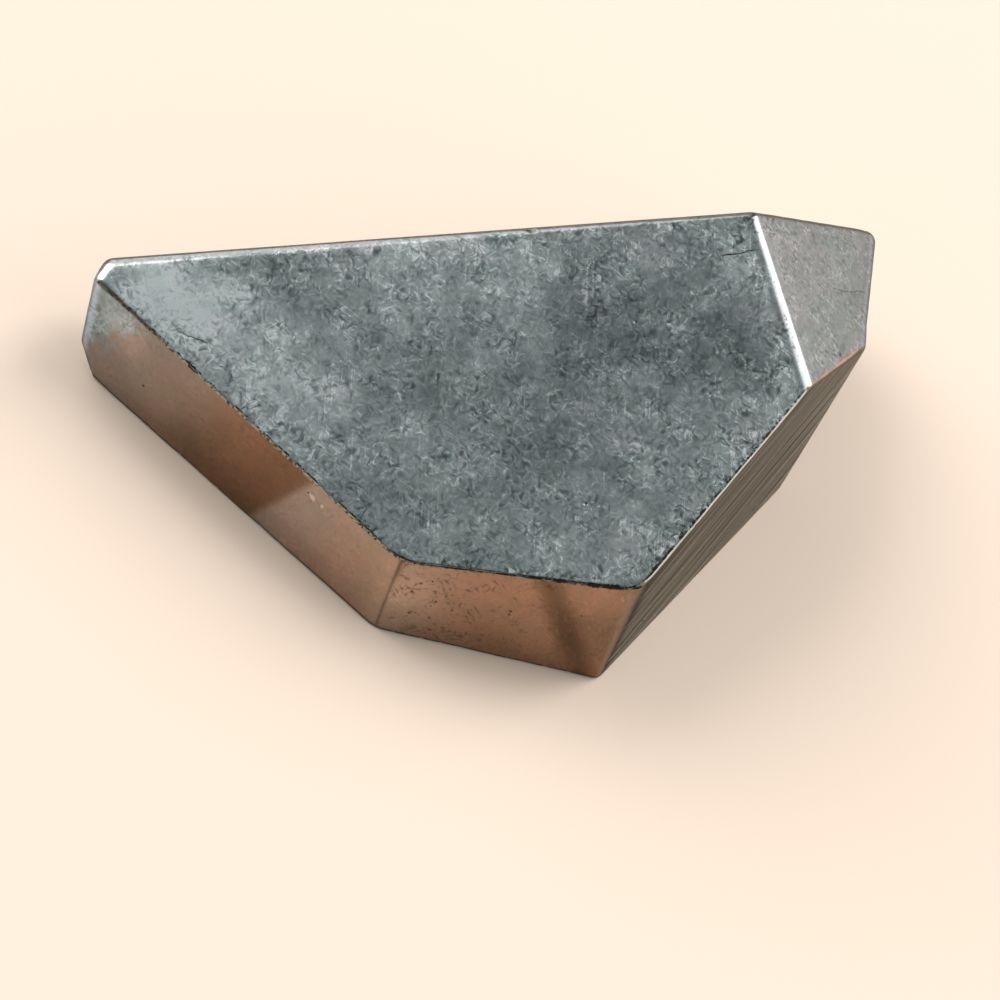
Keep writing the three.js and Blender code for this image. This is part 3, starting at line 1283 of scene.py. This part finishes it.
# The sky of the studio, in linear light. A side is given by the bearing and height of its middle.
ZENITH = (0.58, 0.68, 0.67)
HORIZON = (1.0, 0.98, 0.94)
BRIGHT_SIDE = (17, 8)
BRIGHT_COLOUR = (1.62, 1.52, 1.46)
DIM_BEARINGS = (38, 68)  # the sky is dim between them
DIM_COLOUR = (0.30, 0.31, 0.33)
CLOTH_SIDE = (-108, 42)  # a black cloth above the camera
CLOTH_COLOUR = (0.05, 0.05, 0.05)

# Softboxes: (name, bearing, height, half width and half height in degrees, brightness).
SOFTBOXES = [
    ("right_softbox", 15, 46, (13, 28), 7.0),
    ("back_softbox", 127, 30, (19, 29), 6.0),
    ("back_fill", 91, 28, (13, 27), 1.8),
    ("front_fill", -38, 36, (14, 20), 3.0),
]
SOFTBOX_DISTANCE = 2.0
SOFTBOX_COLOUR = (1.0, 0.95, 0.94)


def make_floor():
    bpy.ops.mesh.primitive_plane_add(size=FLOOR_SIDE, location=(0, 0, -FLOOR_DROP))
    floor = bpy.context.object
    floor.name = "floor"
    material, shader = add_material("floor")
    shader.inputs["Base Color"].default_value = (*FLOOR_COLOUR, 1)
    shader.inputs["Roughness"].default_value = 0.9
    shader.inputs["Specular IOR Level"].default_value = 0.2
    floor.data.materials.append(material)


def softbox(name, bearing, height, spread, radiance):
    """A rectangular light that looks at the stone, and that the camera doesn't see."""
    data = bpy.data.lights.new(name, "AREA")
    data.shape = "RECTANGLE"
    data.size = 2 * SOFTBOX_DISTANCE * math.tan(math.radians(spread[0]))
    data.size_y = 2 * SOFTBOX_DISTANCE * math.tan(math.radians(spread[1]))
    data.energy = math.pi * radiance * data.size * data.size_y
    data.color = SOFTBOX_COLOUR
    light = add_object(name, data)
    out = Vector(direction(bearing, height))
    light.location = out * SOFTBOX_DISTANCE
    light.rotation_mode = "QUATERNION"
    light.rotation_quaternion = out.to_track_quat("Z", "Y")
    light.visible_camera = False


def towards(nodes, at, bearing, height=0):
    """How much each place of the sky lies towards a direction: 1 in it, 0 square to it."""
    return nodes.dot(at, direction(bearing, height))


def make_sky(nodes):
    at = nodes.vector("NORMALIZE", nodes.add("TexCoord").outputs["Generated"])
    height = nodes.dot(at, (0.0, 0.0, 1.0))
    sky = nodes.mix(nodes.ramp(height, 0.3, 0.95), HORIZON, ZENITH)
    sky = nodes.mix(nodes.ramp(towards(nodes, at, *BRIGHT_SIDE), 0.70, 0.98), sky, BRIGHT_COLOUR)
    after_first = nodes.ramp(towards(nodes, at, DIM_BEARINGS[0] + 90), 0.0, 0.15)
    before_last = nodes.ramp(towards(nodes, at, DIM_BEARINGS[1] - 90), 0.0, 0.12)
    dim = nodes.product(after_first, before_last, nodes.ramp(height, 0.92, 0.80))
    sky = nodes.mix(dim, sky, DIM_COLOUR)
    return nodes.mix(nodes.ramp(towards(nodes, at, *CLOTH_SIDE), 0.80, 0.93), sky, CLOTH_COLOUR)


def make_world():
    """The studio's sky, and a plain backdrop where the camera looks past the floor."""
    world = bpy.data.worlds.new("studio")
    world.use_nodes = True
    nodes = Nodes(world.node_tree)
    seen = nodes.add("LightPath").outputs["Is Camera Ray"]
    background = world.node_tree.nodes["Background"]
    nodes.give(background.inputs["Color"], nodes.mix(seen, make_sky(nodes), BACKDROP_COLOUR))
    background.inputs["Strength"].default_value = 1.0
    bpy.context.scene.world = world


make_floor()
make_world()
for box in SOFTBOXES:
    softbox(*box)
bpy.context.scene.view_settings.view_transform = "Standard"
